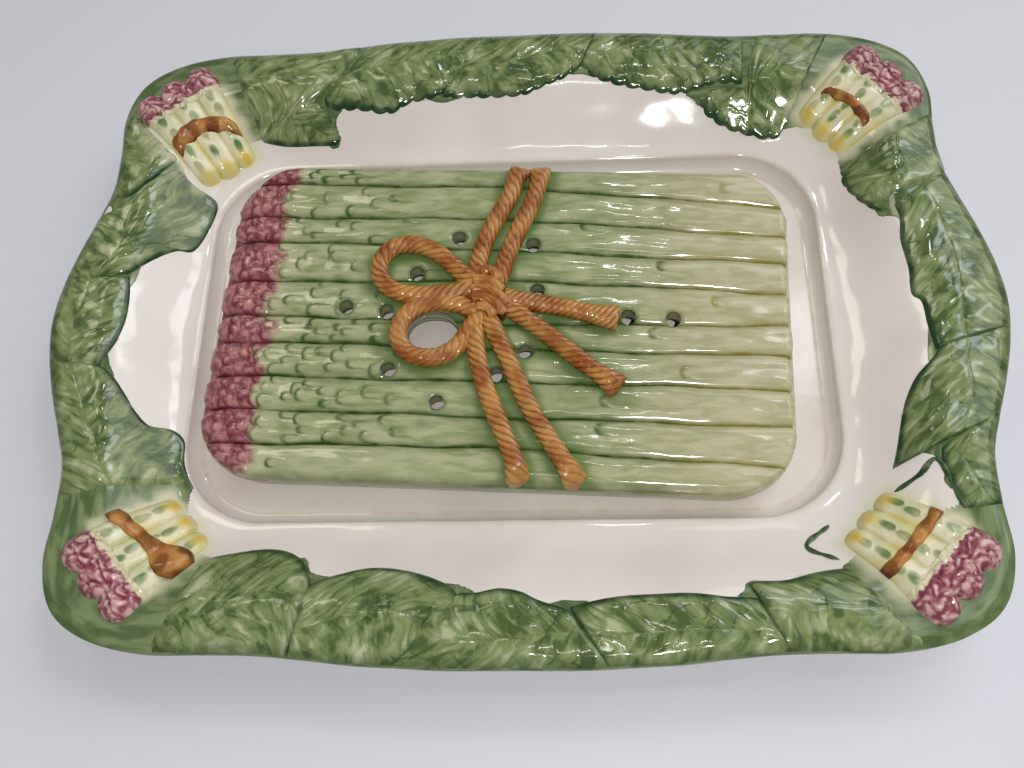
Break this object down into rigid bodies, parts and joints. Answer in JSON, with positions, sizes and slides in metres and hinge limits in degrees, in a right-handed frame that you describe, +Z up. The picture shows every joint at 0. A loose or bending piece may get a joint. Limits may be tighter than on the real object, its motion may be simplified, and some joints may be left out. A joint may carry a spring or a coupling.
{
  "type": "asparagus platter with drainer",
  "caption": "Glazed earthenware asparagus server: a wavy-edged platter with a leaf border and corner bundles, and a lift-out drainer moulded as tied spears.",
  "frame": {"origin": "on the table under the centre of the platter's outline", "axes": "+Z up, +X along the length, towards the cut ends of the drainer's spears, +Y to the far side of the picture"},
  "size_m": [0.4, 0.2932, 0.0399],
  "materials": {
    "cream_glaze": "glossy cream lead glaze with green painting in the corners and on the rim",
    "bare_clay": "unglazed, wiped foot",
    "leaf_glaze": "glossy mid-green glaze, darker at the edges, light veins",
    "stalk_glaze": "glossy cream-yellow glaze with green freckles",
    "tip_glaze": "glossy pink-purple glaze, maroon in the grooves",
    "rope_glaze": "glossy honey-brown glaze, dark in the twist lines",
    "drainer_glaze": "glossy pale green glaze, dark green in the grooves"
  },
  "bodies": {
    "platter": {"platter_dish": "cream_glaze", "foot_ring": "bare_clay", "leaf_far_1": "leaf_glaze", "leaf_far_2": "leaf_glaze", "leaf_far_3": "leaf_glaze", "leaf_far_4": "leaf_glaze", "leaf_far_5": "leaf_glaze", "leaf_right_1": "leaf_glaze", "leaf_right_2": "leaf_glaze", "leaf_right_3": "leaf_glaze", "leaf_right_4": "leaf_glaze", "leaf_near_1": "leaf_glaze", "leaf_near_2": "leaf_glaze", "leaf_near_3": "leaf_glaze", "leaf_near_4": "leaf_glaze", "leaf_near_5": "leaf_glaze", "leaf_left_1": "leaf_glaze", "leaf_left_2": "leaf_glaze", "leaf_left_3": "leaf_glaze", "leaf_left_4": "leaf_glaze", "bundle_stalks_far_left": "stalk_glaze", "bundle_stalks_far_right": "stalk_glaze", "bundle_stalks_near_left": "stalk_glaze", "bundle_stalks_near_right": "stalk_glaze", "bundle_tips_far_left": "tip_glaze", "bundle_tips_far_right": "tip_glaze", "bundle_tips_near_left": "tip_glaze", "bundle_tips_near_right": "tip_glaze", "bundle_tie_far_left": "rope_glaze", "bundle_tie_far_right": "rope_glaze", "bundle_tie_near_left": "rope_glaze", "bundle_tie_near_right": "rope_glaze"},
    "drainer": {"drainer_tray": "drainer_glaze", "spear_01": "drainer_glaze", "spear_02": "drainer_glaze", "spear_03": "drainer_glaze", "spear_04": "drainer_glaze", "spear_05": "drainer_glaze", "spear_06": "drainer_glaze", "spear_07": "drainer_glaze", "spear_08": "drainer_glaze", "spear_09": "drainer_glaze", "spear_10": "drainer_glaze", "spear_tip_01": "tip_glaze", "spear_tip_02": "tip_glaze", "spear_tip_03": "tip_glaze", "spear_tip_04": "tip_glaze", "spear_tip_05": "tip_glaze", "spear_tip_06": "tip_glaze", "spear_tip_07": "tip_glaze", "spear_tip_08": "tip_glaze", "spear_tip_09": "tip_glaze", "spear_tip_10": "tip_glaze", "bow_knot": "rope_glaze", "bow_loop_far": "rope_glaze", "bow_loop_near": "rope_glaze", "bow_tail_far": "rope_glaze", "bow_tail_near": "rope_glaze", "bow_wrap_far": "rope_glaze", "bow_wrap_near": "rope_glaze"}
  },
  "joints": [
    {"name": "drainer_lift", "type": "slide", "parent": "platter", "child": "drainer", "axis": [0, 0, 1], "range_m": [0, 0.08]}
  ]
}
